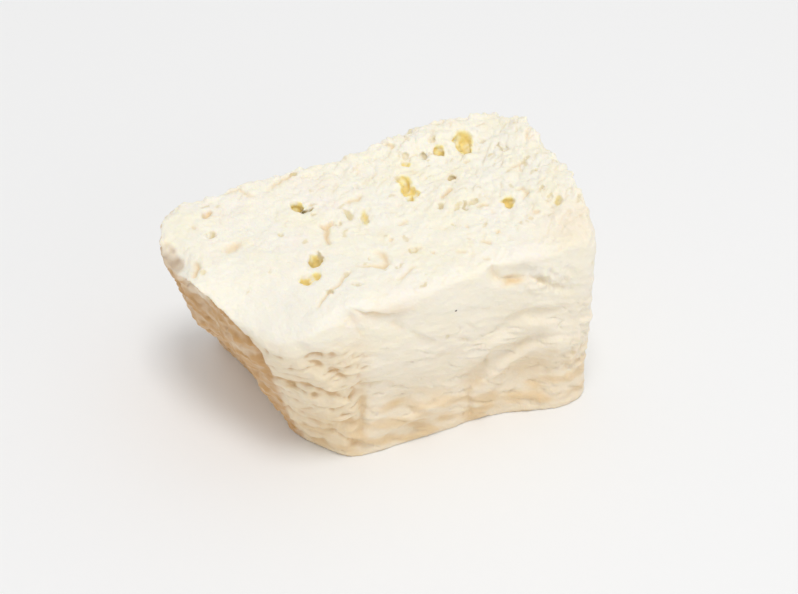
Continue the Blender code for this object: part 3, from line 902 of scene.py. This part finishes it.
def wall_rise(face):
    """Fibres and layers of the torn left wall, its undercut edge and its notch."""
    layers = hair_creases(face.rows + face.wander * 1.6, "layers")
    torn = FIBRE_RISE * face.fibres - LAYER_DEPTH * layers + WALL_RISE * lumps(face.rows, "wall")
    notch = face.notch * (NOTCH_DEPTH + NOTCH_RISE * face.notch_lumps)
    return face.left * torn - notch - UNDERCUT_DEPTH * face.undercut


def corner_rise(face):
    """Worn lumps and folds of the front left corner."""
    wavy = face.rows + face.wander * 1.4
    rise = CORNER_RISE * lumps(wavy, "corner") + CORNER_FINE * lumps(wavy, "corner_grain")
    return face.corner * (rise - FOLD_DEPTH * hair_creases(wavy, "folds"))


def skin_rise(face):
    """Waves and wrinkles of the front skin, calmer near the brow."""
    low = 1.0 - ramp(face.rows[:, 2], *SKIN_BROW)
    heights = (SKIN_RISE, SKIN_GRAIN, WRINKLE_DEPTH)
    waves, grain, wrinkles = (brow + foot * low for brow, foot in heights)
    rise = waves * lumps(face.slanted, "skin") + grain * lumps(face.slanted, "skin_grain")
    return face.skin * (rise - wrinkles * hair_creases(face.slanted + face.wander, "wrinkles"))


def front_rise(face):
    """The drawn creases, rolls, swells and crumbly places of the front and the corner."""
    rise = ROLL_SHARE * line_rise(face.flat[:, [0, 2]], FRONT_ROLLS, 0.0) * face.forward
    rise -= face.creases
    for centre, reach, height in SWELLS.values():
        rise += height * bump(face.flat, centre, reach)
    crumbly = sum(bump(face.rows, centre, reach) for centre, reach in CRUMBLY_SPOTS.values())
    rough = FRONT_LUMPS * lumps(face.rows, "front_crumbs") + FRONT_CRUMBS * face.crumbs
    return rise + face.forward * crumbly * rough


def relief(curd, face):
    """Move the curd along its normals, inside the block's box and level with its foot."""
    rise = bare_rise(face) + wall_rise(face) + corner_rise(face) + skin_rise(face)
    rise += front_rise(face)
    rise *= ramp(face.rows[:, 2], *FOOT_CALM)
    moved = face.rows + read_rows(curd, "normals") * rise[:, None]
    low_side, high_side = (np.array(side) / MM for side in cad_box)
    moved = np.clip(moved, low_side, high_side)
    moved[moved[:, 2] < FLOOR_SNAP / MM, 2] = 0.0
    write_rows(curd, moved)


def store_tints(curd, face, seats):
    """Keep the share of each tint at every vertex, painted shade and painted bounce light among
    them.
    """
    height = face.rows[:, 2]
    eyes, shade = eye_shares(face.rows + drift(face.rows, *UNEVEN) * UNEVEN_EYES, seats)
    # painted warm bounce light low on the skin and the corner, broken into patches, then the warm
    # spots
    patches = ramp(lumps(face.slanted, "warm_patches"), -0.25, 0.35)
    warm = (1.0 - ramp(height, *BOUNCE_BROW)) * (0.35 + 0.65 * patches)
    warm *= 0.9 * face.skin + 0.85 * face.corner
    for centre, reach, strength in WARM_SPOTS.values():
        warm = np.maximum(warm, strength * bump(face.flat, centre, reach))
    # the skin's cream, deeper lower down, with painted shade on the right shoulder where it turns
    # from the light
    cream_and_shade = face.forward * (0.45 + 0.55 * (1.0 - ramp(height, *CREAM_BROW)))
    # painted shade in the notch, patchy with its lumps
    notch = face.notch * (0.75 + 0.6 * face.notch_lumps)
    # painted shade and warm bounce light on the left wall, streaked along its fibres and deeper
    # under its undercut rim
    torn = face.left * (0.84 + 0.5 * face.fibres) + 0.3 * face.undercut
    tints = {
        # painted shade, partly the ochre of the opened curd, in cracks, front creases and slits
        "crack": face.cracks + 0.45 * face.creases + 0.5 * face.slits,
        "cream_and_shade": np.maximum(cream_and_shade, bump(face.rows, SHOULDER_PLACE, SHOULDER_REACH)),
        # painted shade and a greyer tone on the worn left of the top
        "worn": face.worn * face.top,
        "warm": warm,
        "front": face.front,
        "left": torn * (1.0 - bump(face.flat, SHELF_PLACE, SHELF_REACH)) * (1.0 - notch),
        "notch": notch,
        "corner": face.corner,
        "eye": eyes,
        "shade": shade,
    }
    for name, share in tints.items():
        store(curd, name, np.clip(share, 0.0, 1.0))


def store_hollows(curd):
    """Keep how far every vertex lies below the softened surface, in mm, for the painted shade in
    the corner's creases.
    """
    gap = (softened(curd)[0] - read_rows(curd)) * read_rows(curd, "normals")
    store(curd, "hollow", gap.sum(axis=1))


def curd_colour(shader, clouds, warm):
    """Ivory with clouds, and over it, one after the other, the tints of the regions and marks,
    among them painted shade and painted warm bounce light.
    """
    corner = shader.attribute("corner")
    eye = shader.attribute("eye")
    # painted shade, deeper the further a place lies below the softened surface
    crease_shade = shader.attribute("hollow").above(0.0, 0.55)
    cloudy = clouds.above(0.35, 0.7)
    pink = shader.noise((19.0, 15.0, 17.0), 1.0).above(0.52, 0.75)
    golden = shader.mix(EYE_RIM, EYE_GOLD, eye.above(0.4, 0.95))
    speck = 1.0 - shader.distance(SPECK_PLACE).above(0.6 * SPECK_RADIUS, SPECK_RADIUS)
    coats = (
        (PINK_CLOUD, pink * 0.6),
        (SHADED_WORN_IVORY, shader.attribute("worn")),
        # cream of the skin, with painted shade on the right shoulder
        (shader.mix(CREAM, CREAM_CLOUD, cloudy), shader.attribute("cream_and_shade")),
        # cream of the corner, partly painted warm bounce light
        (CORNER_CREAM_AND_BOUNCE, corner * 0.65),
        (CORNER_CREASE_SHADE, corner * crease_shade * 0.95),
        (WARM_BOUNCE_SHADE_AND_STAIN, warm),
        (WALL_SHADE_TAN, shader.attribute("left")),
        (NOTCH_SHADE, shader.attribute("notch")),
        (CRACK_SHADE_OCHRE, shader.attribute("crack") * 0.9),
        (golden, eye.above(0.02, 0.6)),
        (EYE_SHADE, shader.attribute("shade") * 0.9),
        (SPECK_BLACK, speck),
    )
    body = shader.mix(IVORY, IVORY_CLOUD, cloudy)
    for colour, share in coats:
        body = shader.mix(body, colour, share)
    return body


def curd_grain(shader, front, warm):
    """Fine lumps and grain, and streaks that slant along the front skin."""
    lumpy = shader.noise((2.4, 2.4, 1.8), 3.0, 0.6)
    grain = shader.noise((0.8, 0.8, 0.8), 3.0, 0.6)
    streaks = shader.noise((5.0, 5.0, 1.5), 4.0, 0.6, STREAK_SLANT)
    rise = lumpy * 0.45 + grain * 0.3 + streaks * (front * 0.25 + warm * 0.5) * 0.9
    height = {"Height": rise, "Strength": 0.9, "Distance": 0.8 * MM}
    return shader.add("ShaderNodeBump", None, height)


def curd_material():
    """Moist ivory curd with golden insides to its eyes and a creamier skin."""
    shader = Shader("moist_curd")
    front = shader.attribute("front")
    warm = shader.attribute("warm")
    clouds = shader.noise((11.0, 11.0, 11.0), 3.0)
    shader.finish("Base Color", curd_colour(shader, clouds, warm))
    shader.finish("Roughness", 0.40 + 0.2 * clouds - front * 0.12)
    shader.finish("Coat Weight", front * 0.25)
    shader.finish("Coat Roughness", 0.25)
    shader.finish("Specular IOR Level", 0.4)
    shader.finish("Subsurface Weight", 0.4)
    shader.finish("Subsurface Radius", (1.0, 0.85, 0.55))
    shader.finish("Subsurface Scale", 1.0 * MM)
    shader.finish("Normal", curd_grain(shader, front, warm))
    return shader.material


def cheese():
    """The whole block of curd, in the place of the CAD block."""
    curd = fine_copy()
    seats = eye_seats(curd)
    cut_eyes(curd, seats)
    face = Surface(curd)
    relief(curd, face)
    store_tints(curd, face, seats)
    store_hollows(curd)
    triangles = 2 * len(curd.data.polygons)
    apply_modifier(curd, "DECIMATE", ratio=TRIANGLES_KEPT / triangles)
    only(curd)
    bpy.ops.object.shade_smooth()
    curd.data.materials.clear()
    curd.data.materials.append(curd_material())
    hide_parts("cheese_block")
    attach(curd, "root")


camera()
studio()
cheese()
